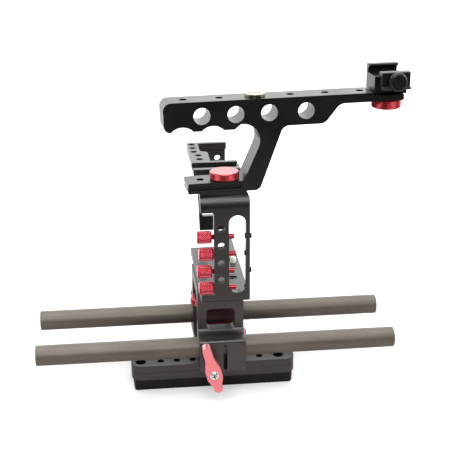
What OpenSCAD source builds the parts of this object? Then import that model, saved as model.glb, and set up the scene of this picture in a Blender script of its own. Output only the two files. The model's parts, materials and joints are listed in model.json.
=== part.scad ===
// Camera cage on a rod riser: base plate, two rods, ring-shaped cage,
// cable clamp screws, cold shoe and a top handle with an accessory clamp.
// Millimetres. +X is the camera's back, +Y its right-hand side, +Z is up.
// Origin: the tripod thread in the middle of the base's underside.

/* [Base] */
// Length of the base plates
plate_len = 124.4; // [110:0.2:160]
// Width of the base plates
plate_w = 42; // [38:0.5:60]
// Corner radius of the base plates
plate_r = 8; // [2:0.5:14]
// Height of the tapered quick plate
quick_h = 10.8; // [8:0.2:16]
// Height of the middle plate
middle_h = 6; // [3:0.2:10]
// Height of the deck plate
deck_h = 5.7; // [4:0.1:10]
// Step between the middle plate's edge and the quick plate's top
quick_step = 1; // [0.4:0.1:3]
// How far the quick plate's sides taper in at its foot
quick_taper = 4.3; // [1:0.1:6]
// How far the quick plate's ends taper in at its foot
quick_end_taper = 1.2; // [0.2:0.1:5]
// Radius of the large threaded holes in the deck
deck_big_r = 3.95; // [2.5:0.05:5]
// Radius of the small threaded holes in the deck
deck_small_r = 2.55; // [1.5:0.05:3.5]
// Distance of the deck's hole row from the middle line
deck_row_y = 13; // [10:0.5:15]
// Radius of the tripod thread in the underside
tripod_r = 3.95; // [2.5:0.05:5]

/* [Rods] */
// Outside diameter of the rods
rod_d = 15; // [12:0.5:16]
// Wall of the rod tubes
rod_wall = 2.3; // [1:0.1:4]
// Length of each rod
rod_len = 266.8; // [160:0.2:400]
// Distance between the rod axes
rod_gap = 60; // [58:1:70]
// Height of the rod axes above the deck
rod_lift = 18.7; // [17:0.1:24]
// Place of the near rod's middle along X
near_rod_x = 1.75; // [-40:0.25:40]
// Place of the far rod's middle along X
far_rod_x = 2.4; // [-40:0.1:40]
// Radial clearance of every running fit
run_gap = 0.05; // [0.02:0.01:0.1]

/* [Riser] */
// Length of the riser along X
riser_len = 34; // [30:0.5:44]
// Place of the riser's middle along X
riser_x = 4.8; // [0:0.1:10]
// From a rod's axis to the block's outer face
block_side = 11; // [10:0.1:14]
// Height of the block's top above the rod axes
block_over = 9.8; // [9:0.1:13]
// Depth of the block's cheeks below the rod axes
block_under = 15.5; // [14:0.1:16.5]
// Width of the foot under the block
block_foot_w = 40; // [37:0.5:50]
// Width of the neck
neck_w = 52; // [46:0.5:58]
// Thickness of the neck's side walls
neck_wall = 9.6; // [5:0.1:12]
// Height of the neck's top above the deck
riser_h = 62.8; // [60:0.2:80]
// Thickness of the neck's top
neck_top = 8; // [6:0.5:11]
// Radius of the cove between neck and block
cove_r = 5; // [2:0.5:6]
// Radius of the block's upper edges
block_edge_r = 3; // [1:0.5:4]
// Width of the window in each side wall
window_w = 21.3; // [12:0.1:24]
// Height of the window
window_h = 17; // [10:0.5:19]
// Height of the window's sill above the block's top
sill_h = 1.6; // [1:0.1:4]
// Corner radius of the window
window_r = 3.2; // [1:0.1:5]
// Width of the slit in each clamp cheek
slit_w = 2.8; // [1.5:0.1:4]
// Place of the slit from the riser's front face
slit_x = 18.8; // [17:0.1:22]
// Width of the split under each rod
split_w = 1.6; // [1:0.1:3]

/* [Rod levers] */
// Length of the lever's arm from its hub
lever_arm = 23.6; // [18:0.2:30]
// Length of the lever's tail from its hub
lever_tail = 14; // [10:0.2:18]
// Width of the hub
lever_hub_w = 11.4; // [8:0.2:14]
// Width of the arm and of the tail
lever_neck_w = 6.4; // [4:0.2:7]
// Thickness of the lever
lever_t = 4.5; // [3:0.1:6]
// How far the boss holds the lever off the block
lever_boss_h = 10.4; // [4:0.2:14]
// Radius of the boss
lever_boss_r = 4.6; // [3.5:0.1:5.5]
// Lean of the lever from upright, degrees
lever_lean = 15; // [0:0.5:30]
// Length of the round grip that the arm's end turns back to
lever_grip = 3; // [1:0.1:9]
// Place of the clamp bolt from the riser's front face
bolt_x = 9.2; // [7:0.1:12]
// Radius of the clamp bolts
bolt_r = 2.4; // [1.5:0.1:2.6]
// Clearance between a rod and its clamp bolt
bolt_gap = 1.2; // [0.5:0.1:2]

/* [Cage] */
// Depth of the cage along X
cage_depth = 34.6; // [30:0.2:44]
// Place of the cage's front edge along X
cage_front = -11.2; // [-14:0.1:-8]
// Height of the cage
cage_h = 82.7; // [74:0.1:100]
// From the lens axis to the near wall's outer face
near_side = 50; // [46:0.5:60]
// From the lens axis to the far wall's outer face
far_side = 86; // [82:0.5:100]
// Wall of the cage
cage_wall = 5; // [4:0.1:6]
// Outer radius of the near upper bend
bend_r = 12; // [6:0.5:16]
// Outer radius of the far upper bend
far_bend_r = 10; // [6:0.5:16]
// Distance of the roof's rounded front end from the far wall's outer face
strip_end = 6; // [5:0.5:9]
// Distance of the roof's cut-out from the lens axis
cutout_y = 17; // [16:0.5:24]
// Distance of the step in the cut-out from the lens axis
cutout_step_y = 50.7; // [40:0.1:60]
// Width of the post that carries the cable screws
post_w = 10.5; // [9:0.1:13]
// From the cage's front edge to the post
post_x = 9.3; // [6:0.1:10]
// Width of the long slot beside the post
slot_w = 12; // [8:0.1:13]
// Length of the slot
slot_len = 58.3; // [54:0.1:64]
// Height of the slot's lower end above the cage's underside
slot_z = 7.2; // [6:0.1:12]
// Radius of the threaded holes in the post
post_hole_r = 2.6; // [1.5:0.05:3.2]
// Spacing of the holes in the post
post_pitch = 12.9; // [11:0.1:14.5]
// Height of the lowest post hole above the cage's underside
post_hole_z = 17.2; // [16:0.1:20]
// Length of the floor beyond the lens axis
floor_far = 47.5; // [40:0.5:60]
// Height of the far wall's lower end above the cage's underside
far_end_z = 5.6; // [5.2:0.1:20]
// Width of the far wall
far_wall_w = 23.7; // [20:0.1:26]

/* [Cable screws] */
// Radius of the knurled heads
cable_head_r = 4.7; // [3.5:0.1:5.4]
// Length of the knurled heads
cable_head_len = 10.4; // [6:0.1:14]
// Radius of the screw shanks
cable_r = 1.95; // [1.2:0.05:2]
// How far a screw's tip stands in the slot
cable_tip = 5; // [2:0.1:8]
// Extra distance that the first and third screw are backed out
cable_back = 1.2; // [0:0.1:4]

/* [Cold shoe] */
// Outer width of the cold shoe
shoe_w = 21.2; // [20.6:0.1:24]
// Height of the cold shoe
shoe_h = 4.7; // [4.2:0.1:6]
// Length of the cold shoe along X
shoe_len = 33.4; // [18:0.2:34]

/* [Handle] */
// Width of the handle
handle_w = 18.4; // [16:0.2:24]
// Height of the handle's top above the cage's top
handle_h = 64.3; // [58:0.1:80]
// Angle at which the handle stands on its screw, degrees
handle_turn = 5; // [-8:0.5:8]
// Place of the handle's screw along X
handle_x = 6.6; // [4:0.1:9]
// Distance of the handle's screw from the near wall's outer face
handle_y = 9.2; // [8:0.1:12]
// Height of the handle's foot
foot_h = 7.5; // [6:0.1:10]
// Length of the foot in front of its screw
foot_front = 27; // [20:0.5:36]
// Length of the bar in front of the screw
bar_front = 43.2; // [38:0.2:60]
// Length of the bar behind the screw
bar_back = 124.4; // [122:0.2:140]
// Height of the bar
bar_h = 20.3; // [18:0.1:24]
// Place behind the screw where the bar starts to thin down to the tongue
bar_thin = 68.3; // [60:0.1:74]
// Height of the tongue at the back
tongue_h = 6.3; // [5:0.1:9]
// Radius of the cross holes in the bar
cross_r = 5.8; // [4:0.1:7]
// Radius of the threaded holes in the bar's top
bar_hole_r = 2.6; // [1.5:0.05:3.2]
// Spacing of the threaded holes in the bar's top
bar_pitch = 24.6; // [24:0.1:25.4]

/* [Knurled knobs] */
// Radius of the handle knob, the camera knob and the clamp knob
knob_r = 10.4; // [8:0.1:11]
// Height of the handle knob and the camera knob
knob_h = 5; // [4:0.1:7]
// Height of the clamp knob
clamp_knob_h = 6.2; // [4:0.1:8]
// Radius of the riser wheel
wheel_r = 16.6; // [14:0.1:17]
// Height of the riser wheel
wheel_h = 6; // [4:0.1:8]
// Depth of the knurling
knurl_depth = 0.35; // [0.1:0.05:0.6]
// Radius of the quarter-inch studs
stud_r = 3.1; // [2:0.05:3.2]

/* [Accessory clamp] */
// Length of the clamp along the handle
clamp_len = 21; // [16:0.2:24]
// Place of the clamp's screw behind the handle's screw
clamp_s = 114.8; // [110:0.2:116]
// Depth of the seat that the clamp's foot sits in
seat_depth = 2.2; // [1:0.1:2.8]
// Opening between the clamp's jaws
clamp_open = 12; // [8:0.2:14]
// Height of the clamp's jaws above the tongue
clamp_h = 16.7; // [15:0.1:20]
// Radius of the black jaw knob
jaw_knob_r = 6.6; // [4:0.1:7]

/* [Hidden] */
$fn = 64;

cut = 1;                      // how far a cut runs past the faces it opens
seat_gap = 0.05;              // between faces that rest on each other
screw_gap = 0.02;             // between a fixed screw and its hole

deck_z = quick_h + middle_h + deck_h;
rod_z = deck_z + rod_lift;
rod_r = rod_d / 2;
rod_y = rod_gap / 2;
block_y = rod_y + block_side;
block_z = rod_z + block_over;
cheek_z = rod_z - block_under;
riser_front = riser_x - riser_len / 2;
riser_back = riser_x + riser_len / 2;
riser_z = deck_z + riser_h;
neck_y = neck_w / 2;
hall_y = neck_y - neck_wall;
window_z = block_z + sill_h;
slit_pos = riser_front + slit_x;

bolt_z = rod_z - rod_r - bolt_gap - bolt_r;
bolt_pos = riser_front + bolt_x;
bolt_len = block_side + rod_r + 4;

wheel_x = riser_back - 11.2;
wheel_z = rod_z - 8;
wheel_room = 1.2;
riser_stud_r = 4.7;
camera_x = riser_front + 7;
camera_z = riser_z - 21.5;
camera_tip = 5;

cage_back = cage_front + cage_depth;
roof_far_back = cage_back - 3;
cage_z = riser_z;
floor_z = cage_z + cage_wall;
roof_z = cage_z + cage_h;
near_y = -near_side;
far_y = far_side;
wall_mid_y = near_y + cage_wall / 2;
post_front = cage_front + post_x;
post_back = post_front + post_w;
post_mid = post_front + post_w / 2 - 0.1;
cable_drop = post_pitch / 2;

handle_pos = [handle_x, near_y + handle_y];
handle_z = roof_z + seat_gap;
foot_top = handle_z + foot_h;
bar_top = roof_z + handle_h;
bar_z = bar_top - bar_h;
tongue_z = bar_top - tongue_h;
hole_z = bar_top - 10;
handle_y2 = handle_w / 2;

cage_screw_x = riser_front + 26.8;
cage_screw_y = hall_y + 0.6;
cage_screw_len = neck_top - 1;
cage_screw_r = 2;
cage_head_r = 3.4;
cage_sink = 3.8;              // depth of the counterbore for the screw's head

// --- shared shapes -------------------------------------------------------

function unit(v) = v / norm(v);

// Arc that rounds corner b between points a and c
function arc(a, b, c, r) =
  let (u = unit(a - b), w = unit(c - b), half = acos(u * w) / 2,
       m = b + unit(u + w) * r / sin(half),
       p = b + u * r / tan(half) - m, q = b + w * r / tan(half) - m,
       from = atan2(p.y, p.x), sweep = (atan2(q.y, q.x) - from + 540) % 360 - 180,
       steps = r > 4 ? 10 : 5)
  [for (k = [0:steps]) m + r * [cos(from + sweep * k / steps), sin(from + sweep * k / steps)]];

// Outline with its corners rounded: each corner is [x, y, radius]
function rounded(p) =
  [for (i = [0:len(p) - 1])
    let (a = p[(i + len(p) - 1) % len(p)], b = p[i], c = p[(i + 1) % len(p)])
    each (b[2] > 0 ? arc([a.x, a.y], [b.x, b.y], [c.x, c.y], b[2]) : [[b.x, b.y]])];

// Solid with outline p in the Y-Z plane, from x0 to x1
module along_x(x0, x1, p) {
  translate([x0, 0, 0]) rotate([90, 0, 90]) linear_extrude(x1 - x0) polygon(p);
}

// Solid with outline p in the X-Z plane, from y0 to y1
module along_y(y0, y1, p) {
  translate([0, y1, 0]) rotate([90, 0, 0]) linear_extrude(y1 - y0) polygon(p);
}

// Box between two corners
module box(a, b) {
  translate(a) cube(b - a);
}

module rod_x(x0, x1, y, z, r) {
  translate([x0, y, z]) rotate([0, 90, 0]) cylinder(r = r, h = x1 - x0);
}

module rod_y(y0, y1, x, z, r) {
  translate([x, y1, z]) rotate([90, 0, 0]) cylinder(r = r, h = y1 - y0);
}

module rod_v(x, y, z0, z1, r) {
  translate([x, y, z0]) cylinder(r = r, h = z1 - z0);
}

// Knurled cylinder with chamfered ends, standing on z = 0
module knurled(r, h, teeth, edge = 0.5) {
  core = r - knurl_depth;
  rim = core - 0.2;
  translate([0, 0, edge]) linear_extrude(h - 2 * edge)
    polygon([for (i = [0:2 * teeth - 1])
      let (a = 180 * i / teeth, s = i % 2 == 0 ? r : core) [s * cos(a), s * sin(a)]]);
  cylinder(r1 = rim - edge, r2 = rim, h = edge);
  translate([0, 0, h - edge]) cylinder(r1 = rim, r2 = rim - edge, h = edge);
}

// Rounded rectangle around the origin
function plate_outline(len, w, r) =
  rounded([[-len / 2, -w / 2, r], [len / 2, -w / 2, r], [len / 2, w / 2, r], [-len / 2, w / 2, r]]);

module mirror_far() {
  mirror([0, 1, 0]) children();
}

// --- base ----------------------------------------------------------------

deck_pitch = 12.2;
deck_small_x = [for (x = [22.4, 22.4 + deck_pitch, 22.4 + 2 * deck_pitch, plate_len - 26.6]) x - plate_len / 2];
deck_big_x = [7.1 - plate_len / 2, plate_len / 2 - 12];
plate_screw_x = 26;
plate_screw_r = 2;
plate_screw_head_r = 3.8;
plate_screw_head_h = 3;

// Sloping sides of the quick plate, wider at the top
function quick_slope(half, taper, r) =
  rounded([[-half + taper, 0, r], [half - taper, 0, r], [half, quick_h, 0], [-half, quick_h, 0]]);

module quick_plate() {
  color("#2b2b2c") difference() {
    intersection() {
      linear_extrude(quick_h)
        polygon(plate_outline(plate_len - 2 * quick_step, plate_w - 2 * quick_step, plate_r - 1));
      along_x(-plate_len, plate_len, quick_slope(plate_w / 2 - quick_step, quick_taper, 0.8));
      along_y(-plate_w, plate_w, quick_slope(plate_len / 2 - quick_step, quick_end_taper, 3));
    }
    rod_v(0, 0, -cut, quick_h + cut, tripod_r);
    for (x = [-plate_screw_x, plate_screw_x]) {
      rod_v(x, 0, -cut, quick_h + cut, plate_screw_r + screw_gap);
      rod_v(x, 0, -cut, plate_screw_head_h + seat_gap, plate_screw_head_r + 0.2);
    }
  }
}

module middle_plate() {
  color("#3a3a3c") difference() {
    translate([0, 0, quick_h]) linear_extrude(middle_h)
      polygon(plate_outline(plate_len, plate_w, plate_r));
    rod_v(wheel_x, 0, quick_h + 1, deck_z, riser_stud_r + run_gap);
    for (x = [-plate_screw_x, plate_screw_x])
      rod_v(x, 0, quick_h - cut, deck_z, plate_screw_r + screw_gap);
  }
}

module deck_plate() {
  z0 = quick_h + middle_h;
  color("#47474a") difference() {
    translate([0, 0, z0]) linear_extrude(deck_h)
      polygon(plate_outline(plate_len, plate_w, plate_r));
    for (y = [-deck_row_y, deck_row_y]) {
      for (x = deck_small_x) rod_v(x, y, z0 - cut, deck_z + cut, deck_small_r);
      for (x = deck_big_x) rod_v(x, y, z0 - cut, deck_z + cut, deck_big_r);
    }
    rod_v(wheel_x, 0, z0 - cut, deck_z + cut, riser_stud_r + run_gap);
    for (x = [-plate_screw_x, plate_screw_x])
      rod_v(x, 0, z0 - cut, z0 + deck_h - 1.4, plate_screw_r + screw_gap);
  }
}

module plate_screws() {
  color("#1d1d1e") for (x = [-plate_screw_x, plate_screw_x]) difference() {
    union() {
      rod_v(x, 0, 0.6, plate_screw_head_h, plate_screw_head_r);
      rod_v(x, 0, 1, deck_z - 1.6, plate_screw_r);
    }
    translate([x, 0, -cut]) cylinder(r = 1.7, h = cut + 2, $fn = 6);
  }
}

// --- riser ---------------------------------------------------------------

// The riser is drawn as two pieces, rod block and neck, that meet above the cove
neck_z = block_z + cove_r;

// Outline of the rod block in Y and Z, with the coves that lead into the neck
function block_outline() =
  rounded([[-block_foot_w / 2, deck_z, 0], [-block_foot_w / 2, cheek_z, 0],
    [-block_y, cheek_z, 0.8], [-block_y, block_z, block_edge_r], [-neck_y, block_z, cove_r - 0.01],
    [-neck_y, neck_z, 0], [neck_y, neck_z, 0], [neck_y, block_z, cove_r - 0.01],
    [block_y, block_z, block_edge_r], [block_y, cheek_z, 0.8],
    [block_foot_w / 2, cheek_z, 0], [block_foot_w / 2, deck_z, 0]]);

function neck_outline() =
  rounded([[-neck_y, neck_z, 0], [-neck_y, riser_z, 0.8], [neck_y, riser_z, 0.8], [neck_y, neck_z, 0]]);

// Cuts of one rod clamp: bore, split under it, slit in the cheek, bolt hole
module rod_clamp_cuts() {
  x0 = riser_front - cut;
  rod_x(x0, riser_back + cut, -rod_y, rod_z, rod_r + run_gap);
  box([x0, -rod_y - split_w / 2, cheek_z - cut], [slit_pos, -rod_y + split_w / 2, rod_z]);
  slit_top = block_z - block_edge_r - slit_w / 2 - 0.6;
  slit_low = cheek_z + slit_w / 2 + 1;
  for (z = [slit_low, slit_top]) rod_y(-block_y - cut, -rod_y, slit_pos, z, slit_w / 2);
  box([slit_pos - slit_w / 2, -block_y - cut, slit_low], [slit_pos + slit_w / 2, -rod_y, slit_top]);
  rod_y(-block_y - cut, -block_y + bolt_len + 1, bolt_pos, bolt_z, bolt_r + run_gap);
}

// Hall through the riser, and the window through both its side walls
module riser_openings() {
  along_x(riser_front - cut, riser_back + cut,
    rounded([[-hall_y, wheel_z, 0], [-hall_y, riser_z - neck_top, 3],
      [hall_y, riser_z - neck_top, 3], [hall_y, wheel_z, 0]]));
  along_y(-neck_y - cut, neck_y + cut,
    rounded([[riser_x - window_w / 2, window_z, window_r],
      [riser_x + window_w / 2, window_z, window_r],
      [riser_x + window_w / 2, window_z + window_h, window_r],
      [riser_x - window_w / 2, window_z + window_h, window_r]]));
}

module riser_block() {
  wheel_slot_y = wheel_r + wheel_room;
  color("#4d4d50") difference() {
    along_x(riser_front, riser_back, block_outline());
    riser_openings();
    box([riser_front - cut, -wheel_slot_y, wheel_z - 0.1],
        [riser_back + cut, wheel_slot_y, wheel_z + wheel_h + 1.8]);
    rod_clamp_cuts();
    mirror_far() rod_clamp_cuts();
    rod_v(wheel_x, 0, deck_z - cut, wheel_z, riser_stud_r + run_gap);
  }
}

// Neck that carries the cage: two walls and a thick top
module riser_neck() {
  color("#4d4d50") difference() {
    along_x(riser_front, riser_back, neck_outline());
    riser_openings();
    rod_v(camera_x, 0, riser_z - neck_top - cut, riser_z + cut, stud_r + run_gap);
    for (y = [-cage_screw_y, cage_screw_y])
      rod_v(cage_screw_x, y, riser_z - cage_screw_len, riser_z + cut, cage_screw_r + screw_gap);
  }
}

module rod_at(x, y) {
  color("#7d7872") difference() {
    rod_x(x - rod_len / 2, x + rod_len / 2, y, rod_z, rod_r);
    rod_x(x - rod_len / 2 - cut, x + rod_len / 2 + cut, y, rod_z, rod_r - rod_wall);
  }
}

module near_rod() {
  rod_at(near_rod_x, -rod_y);
}

module far_rod() {
  rod_at(far_rod_x, rod_y);
}

// Near lever: its arm points up and forward, its turned-back tip towards the block
module near_lever() {
  hub = lever_hub_w / 2;
  neck = lever_neck_w / 2;
  boss_y = -block_y - 0.3;
  back_y = boss_y - lever_boss_h;
  color("#e0525c") translate([bolt_pos, 0, bolt_z]) rotate([0, -lever_lean, 0]) difference() {
    union() {
      along_y(back_y - lever_t, back_y,
        rounded([[-neck, lever_arm, neck - 0.05], [neck, lever_arm, neck - 0.05], [neck, 13, 12], [hub, 4.5, 6],
          [hub, -2.5, 4], [neck, -8.5, 6], [neck, -lever_tail, 3], [-neck, -lever_tail, 3],
          [-neck, -8.5, 6], [-hub, -2.5, 4], [-hub, 4.5, 6], [-neck, 13, 12]]));
      rod_y(back_y, boss_y, 0, 0, lever_boss_r);
      rod_y(back_y - 0.5, min(back_y + lever_grip, boss_y - 1), 0, lever_arm - neck, neck);
    }
    rod_y(back_y - lever_t - cut, boss_y + cut, 0, 0, bolt_r + screw_gap);
    rod_y(back_y - lever_t - cut, back_y - lever_t + 1, 0, 0, 3.7);
  }
}

module far_lever() {
  mirror_far() near_lever();
}

// Pan-head screw with a cross recess that holds the lever on its bolt
module near_lever_screw() {
  face_y = -block_y - 0.3 - lever_boss_h - lever_t;
  color("#cfcfcf") translate([bolt_pos, face_y + 1 - seat_gap, bolt_z]) rotate([90, 0, 0]) difference() {
    intersection() {
      cylinder(r = 3.55, h = 2.1);
      translate([0, 0, -3.2]) sphere(r = 5.3);
    }
    for (a = [20, 110]) rotate([0, 0, a]) translate([-1.9, -0.35, 0.9]) cube([3.8, 0.7, 2]);
  }
}

module far_lever_screw() {
  mirror_far() near_lever_screw();
}

module near_clamp_bolt() {
  face_y = -block_y - 0.3 - lever_boss_h - lever_t;
  color("#8a8a8c") rod_y(face_y + 1, -block_y + bolt_len, bolt_pos, bolt_z, bolt_r);
}

module far_clamp_bolt() {
  mirror_far() near_clamp_bolt();
}

// Large knurled wheel that pulls the riser down on the deck
module riser_wheel() {
  color("#c23a44") difference() {
    translate([wheel_x, 0, wheel_z]) knurled(wheel_r, wheel_h, 72, 0.6);
    rod_v(wheel_x, 0, wheel_z - cut, wheel_z + wheel_h - 1.5, riser_stud_r + screw_gap);
  }
}

module riser_stud() {
  color("#8a8a8c") rod_v(wheel_x, 0, quick_h + 2, wheel_z + wheel_h - 1.6, riser_stud_r);
}

// Knurled knob under the neck's top, whose stud reaches the camera
module camera_knob() {
  color("#c23a44") difference() {
    translate([camera_x, 0, camera_z]) knurled(knob_r, knob_h, 48);
    rod_v(camera_x, 0, camera_z + 1.5, camera_z + knob_h + cut, stud_r + screw_gap);
  }
}

// Captive screw: its waist in the floor keeps it from falling out
module camera_stud() {
  waist_r = stud_r - 0.6;
  color("#8a8a8c") {
    rod_v(camera_x, 0, camera_z + 1.6, cage_z - 1, stud_r);
    rod_v(camera_x, 0, cage_z - 2, floor_z + 1, waist_r);
    rod_v(camera_x, 0, floor_z, floor_z + camera_tip, stud_r);
  }
}

// --- cage ----------------------------------------------------------------

// Bent outline of the cage in Y and Z, open at the far end of the floor
function cage_outline() =
  let (low = cage_z + far_end_z)
  rounded([[floor_far, cage_z, 1], [near_y, cage_z, 3.5], [near_y, roof_z, bend_r],
    [far_y, roof_z, far_bend_r], [far_y, low, 2], [far_y - cage_wall, low, 2],
    [far_y - cage_wall, roof_z - cage_wall, far_bend_r - cage_wall],
    [near_y + cage_wall, roof_z - cage_wall, bend_r - cage_wall], [near_y + cage_wall, floor_z, 1.5],
    [floor_far, floor_z, 1]]);

far_wall_front = roof_far_back - far_wall_w;
far_wall_lean = 2.6;

// Cuts in the near wall: front cut-out, slot, threaded holes, screw holes
module near_wall_cuts() {
  y0 = near_y - cut;
  y1 = near_y + cage_wall + cut;
  slot_mid = post_back + slot_w / 2;
  slot_low = cage_z + slot_z + slot_w / 2;
  slot_top = cage_z + slot_z + slot_len - slot_w / 2;
  along_y(y0, y1,
    rounded([[cage_front - 3, cage_z + 5.6, 0], [post_front, cage_z + 5.6, 0.5],
      [post_front, cage_z + slot_z + slot_len + 2.4, 1.5],
      [cage_front - 3, cage_z + slot_z + slot_len + 2.4, 0]]));
  for (z = [slot_low, slot_top]) rod_y(y0, y1, slot_mid, z, slot_w / 2);
  box([post_back, y0, slot_low], [post_back + slot_w, y1, slot_top]);
  for (i = [0:3]) {
    z = cage_z + post_hole_z + i * post_pitch;
    rod_y(y0, y1, post_mid, z, post_hole_r);
    rod_x(post_front - cut, post_back + slot_w / 2, wall_mid_y, z - cable_drop, cable_r + run_gap);
    rod_x(post_back + slot_w - cut, cage_back + cut, wall_mid_y, z - cable_drop,
      set_screw_r + screw_gap);
  }
}

// Cut-out in the roof over the camera's dials, open to the back
module roof_cuts() {
  step_x = cage_front + 8.8;
  deep_x = cage_front + 14.4;
  // rounded end of the strip in front of the far wall
  corner_r = far_wall_front - cage_front;
  corner_y = far_y - strip_end - corner_r;
  translate([0, 0, roof_z - bend_r - cut]) difference() {
    linear_extrude(bend_r + 2 * cut)
      polygon([[cage_front - cut, corner_y], [far_wall_front, corner_y],
        [far_wall_front, far_y + cut], [cage_front - cut, far_y + cut]]);
    translate([far_wall_front, corner_y, -cut]) cylinder(r = corner_r, h = bend_r + 4 * cut);
  }
  translate([0, 0, roof_z - cage_wall - cut]) linear_extrude(cage_wall + 2 * cut)
    polygon(rounded([[cage_back + 3, cutout_y, 0], [deep_x, cutout_y, 2], [deep_x, cutout_step_y - 1.2, 3],
      [step_x, cutout_step_y + 1.3, 3],
      [step_x, far_y - 12.6, 2], [cage_back + 3, far_y - 12.6, 0]]));
  for (i = [0:4])
    rod_v(cage_front + (i < 2 ? 6.7 : 4), 30.8 + 10.1 * i, roof_z - cage_wall - cut,
      roof_z + cut, bar_hole_r);
}

// Far wall: narrower than the roof, with a window and a threaded hole
module far_wall_cuts() {
  y0 = far_y - cage_wall - cut;
  low = cage_z + far_end_z;
  along_y(y0, far_y + cut,
    rounded([[cage_front - 3, low - 3, 0], [far_wall_front + far_wall_lean, low - 3, 0],
      [far_wall_front, roof_z - cage_wall, 1], [cage_front - 3, roof_z - cage_wall, 0]]));
  box([roof_far_back, floor_far + 17, low - 3], [cage_back + 3, far_y + cut, roof_z + cut]);
  along_y(y0, far_y + cut,
    rounded([[far_wall_front + far_wall_lean + 1.8, low + 13, 1], [roof_far_back - 5, low + 13, 3],
      [roof_far_back - 5, roof_z - 22, 3], [far_wall_front + 2.2, roof_z - 22, 1]]));
  rod_y(y0, far_y + cut, roof_far_back - 6.2, roof_z - 15, bar_hole_r);
}

module cage_frame() {
  tab_w = 5;
  color("#4d4d50") difference() {
    union() {
      along_x(cage_front, cage_back, cage_outline());
      // seat for the handle's foot, which levels the bend
      box([cage_front, near_y + 4, roof_z - cage_wall], [cage_back, near_y + 19, roof_z]);
      // tab at the back of the floor, beside the battery door
      box([cage_back - tab_w, floor_far - 2, cage_z], [cage_back, floor_far + 16.5, floor_z]);
    }
    // rounded upper corner at the back
    along_y(near_y - cut, handle_pos.y + 6, rounded([[cage_back - 4, roof_z + cut, 0],
      [cage_back - 1.6, roof_z - 1.6, 3.5], [cage_back + cut, roof_z - 7, 0],
      [cage_back + cut, roof_z + cut, 0]]));
    near_wall_cuts();
    roof_cuts();
    far_wall_cuts();
    rod_v(camera_x, 0, cage_z - cut, floor_z + cut, stud_r + run_gap);
    rod_v(handle_pos.x, handle_pos.y, roof_z - cage_wall - cut, roof_z + cut, stud_r + run_gap);
    for (y = [-cage_screw_y, cage_screw_y]) {
      rod_v(cage_screw_x, y, cage_z - cut, floor_z + cut, cage_screw_r + screw_gap);
      rod_v(cage_screw_x, y, floor_z - cage_sink, floor_z + cut, cage_head_r + 0.2);
    }
    rod_v(pin_pos.x, pin_pos.y, cage_z + 1.5, floor_z + cut, pin_shank_r + screw_gap);
    rod_v(pin_pos.x, pin_pos.y, floor_z - pin_relief, floor_z + cut, pin_r + 0.4);
    for (x = shoe_screw_x)
      rod_v(x, 0, roof_z - cage_wall - cut, roof_z + cut, shoe_screw_r + screw_gap);
  }
}

module cage_screws() {
  color("#1d1d1e") for (y = [-cage_screw_y, cage_screw_y]) difference() {
    union() {
      rod_v(cage_screw_x, y, floor_z - cage_sink + seat_gap, floor_z - 0.6, cage_head_r);
      rod_v(cage_screw_x, y, riser_z - cage_screw_len + 0.2, floor_z - 1, cage_screw_r);
    }
    translate([cage_screw_x, y, floor_z - 2.4]) cylinder(r = 1.6, h = 4, $fn = 6);
  }
}

// Soft pin in the floor that keeps the camera from turning
pin_pos = [18.6, 12.8];
pin_r = 2.2;
pin_shank_r = 1.8;
pin_relief = 0.5;             // depth of the wider mouth of its hole
pin_h = 4;

module anti_twist_pin() {
  color("#efe9d2") {
    rod_v(pin_pos.x, pin_pos.y, cage_z + 1.6, floor_z + 1, pin_shank_r);
    rod_v(pin_pos.x, pin_pos.y, floor_z + seat_gap, floor_z + pin_h, pin_r);
    translate([pin_pos.x, pin_pos.y, floor_z + pin_h]) cylinder(r1 = pin_r, r2 = pin_r - 0.7, h = 0.7);
  }
}

// Cable clamp screw number i, counted from the top: knurled head, shank and tip
module cable_screw(i) {
  back = i % 2 == 1 ? cable_back : 0;
  z = cage_z + post_hole_z + (4 - i) * post_pitch - cable_drop;
  head_end = post_front - 0.4 - back;
  color("#c23a44") {
    translate([head_end - cable_head_len, wall_mid_y, z]) rotate([0, 90, 0])
      knurled(cable_head_r, cable_head_len, 26);
    rod_x(head_end - 0.5, post_back + cable_tip - back, wall_mid_y, z, cable_r);
  }
}

module cable_screw_1() { cable_screw(1); }
module cable_screw_2() { cable_screw(2); }
module cable_screw_3() { cable_screw(3); }
module cable_screw_4() { cable_screw(4); }

// Grub screws in the back strip, level with the cable screws:
// how far each stands into the slot and out of the back edge
set_screw_r = 1.9;
set_screw_out = [[0, 0.1], [0, 1.2], [1, 0.1], [0.8, 1.3]];

module set_screws() {
  color("#2b2b2c") for (i = [0:3]) {
    z = cage_z + post_hole_z + i * post_pitch - cable_drop;
    rod_x(post_back + slot_w - set_screw_out[i][0], cage_back + set_screw_out[i][1],
      wall_mid_y, z, set_screw_r);
  }
}

shoe_screw_x = [cage_front + 10, cage_front + 24];
shoe_screw_r = 1.4;

// Standard cold shoe: 18.6 wide channel with 12.5 opening between the lips
module cold_shoe() {
  half = shoe_w / 2;
  slot = 9.3;
  gap = 6.25;
  lip = roof_z + shoe_h - 1.4;
  floor_top = roof_z + 1.2;
  x0 = cage_front - 1;
  color("#47474a") difference() {
    along_x(x0, x0 + shoe_len,
      rounded([[-half, roof_z, 0], [-half, roof_z + shoe_h, 0.6], [-gap, roof_z + shoe_h, 0.4],
        [-gap, lip, 0], [-slot, lip, 0], [-slot, floor_top, 0], [slot, floor_top, 0],
        [slot, lip, 0], [gap, lip, 0], [gap, roof_z + shoe_h, 0.4],
        [half, roof_z + shoe_h, 0.6], [half, roof_z, 0]]));
    for (x = shoe_screw_x) rod_v(x, 0, roof_z - cut, roof_z + shoe_h, shoe_screw_r + screw_gap);
    for (x = shoe_screw_x) translate([x, 0, roof_z + 0.1])
      cylinder(r1 = shoe_screw_r, r2 = 2.9, h = 1.2);
  }
}

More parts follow.
